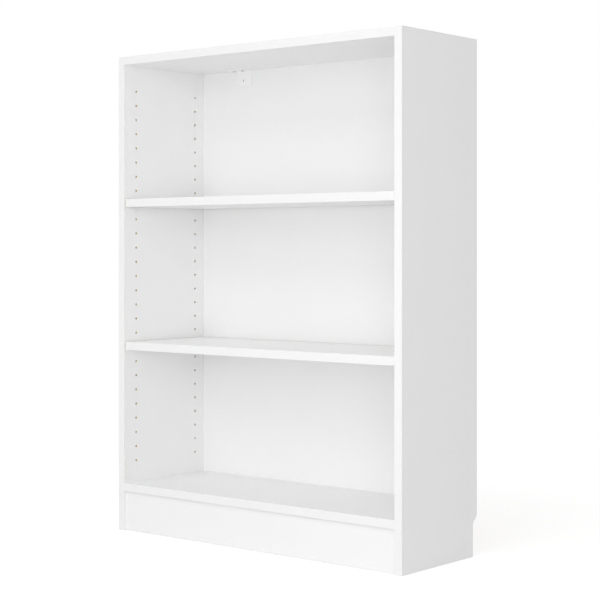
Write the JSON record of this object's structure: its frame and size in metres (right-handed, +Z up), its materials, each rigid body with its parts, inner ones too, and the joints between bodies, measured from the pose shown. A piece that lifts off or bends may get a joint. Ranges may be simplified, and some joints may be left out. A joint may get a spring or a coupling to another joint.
{
  "type": "bookcase",
  "caption": "Low open white bookcase: full-height sides, top, bottom shelf over a recessed plinth, nailed back, and loose shelves that lift off pins set in drilled rows.",
  "frame": {"origin": "on the floor, below the middle of the case", "axes": "+Z up, the open front faces -Y, and +X is to the right of someone who faces the open front"},
  "size_m": [0.784, 0.262, 1.06],
  "materials": {
    "white_board": "satin white melamine on particleboard",
    "white_edging": "satin white edge band",
    "white_hardboard": "white lacquered front, bare brown rear",
    "nickel_steel": "nickel plated",
    "zinc_fittings": "die-cast zinc and zinc-plated steel",
    "zinc_fixings": "zinc plated",
    "white_plastic": "moulded, matt",
    "beech": "bare turned beech",
    "white_steel": "white powder coat"
  },
  "bodies": {
    "carcass": {"left_side_panel": "white_board", "right_side_panel": "white_board", "top_panel": "white_board", "bottom_shelf": "white_board", "plinth": "white_board", "left_side_front_band": "white_edging", "left_side_top_band": "white_edging", "right_side_front_band": "white_edging", "right_side_top_band": "white_edging", "top_edge_band": "white_edging", "bottom_shelf_edge_band": "white_edging", "back_panel": "white_hardboard", "upper_shelf_pins": "nickel_steel", "lower_shelf_pins": "nickel_steel", "top_cam_locks": "zinc_fittings", "bottom_cam_locks": "zinc_fittings", "top_cam_bolts": "zinc_fittings", "bottom_cam_bolts": "zinc_fittings", "back_panel_nails": "zinc_fixings", "left_wall_bracket_screws": "zinc_fixings", "right_wall_bracket_screws": "zinc_fixings", "top_cam_caps": "white_plastic", "top_dowels": "beech", "bottom_shelf_dowels": "beech", "plinth_dowels": "beech", "left_wall_bracket": "white_steel", "right_wall_bracket": "white_steel"},
    "upper_shelf": {"upper_shelf": "white_board", "upper_shelf_edge_band": "white_edging"},
    "lower_shelf": {"lower_shelf": "white_board", "lower_shelf_edge_band": "white_edging"}
  },
  "joints": [
    {"name": "upper_shelf_lift", "type": "slide", "parent": "carcass", "child": "upper_shelf", "axis": [0, 0, 1], "range_m": [0, 0.262]},
    {"name": "lower_shelf_lift", "type": "slide", "parent": "carcass", "child": "lower_shelf", "axis": [0, 0, 1], "range_m": [0, 0.3]}
  ]
}
